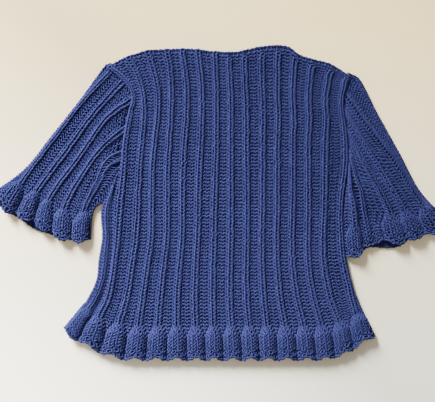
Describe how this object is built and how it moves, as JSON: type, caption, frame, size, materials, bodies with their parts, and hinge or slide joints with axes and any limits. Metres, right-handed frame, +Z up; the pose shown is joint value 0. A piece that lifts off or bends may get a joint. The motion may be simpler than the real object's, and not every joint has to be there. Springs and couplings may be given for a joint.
{
  "type": "hand-knitted cardigan, laid flat",
  "caption": "Child's ribbed hand-knitted cardigan with short sleeves and a flared bell edging at hem and cuffs, laid flat on its fronts with the back uppermost.",
  "frame": {"origin": "on the surface it lies on, under the middle of the whole garment's box", "axes": "+X across the laid-out back towards the wearer's right sleeve, +Y from hem to neck, +Z up, away from the surface"},
  "size_m": [0.4961, 0.347, 0.0101],
  "materials": {
    "yarn": "matt blue worsted wool, hand knitted"
  },
  "bodies": {
    "root": {"back": "yarn", "left_front": "yarn", "right_front": "yarn", "left_sleeve": "yarn", "right_sleeve": "yarn"}
  },
  "joints": []
}
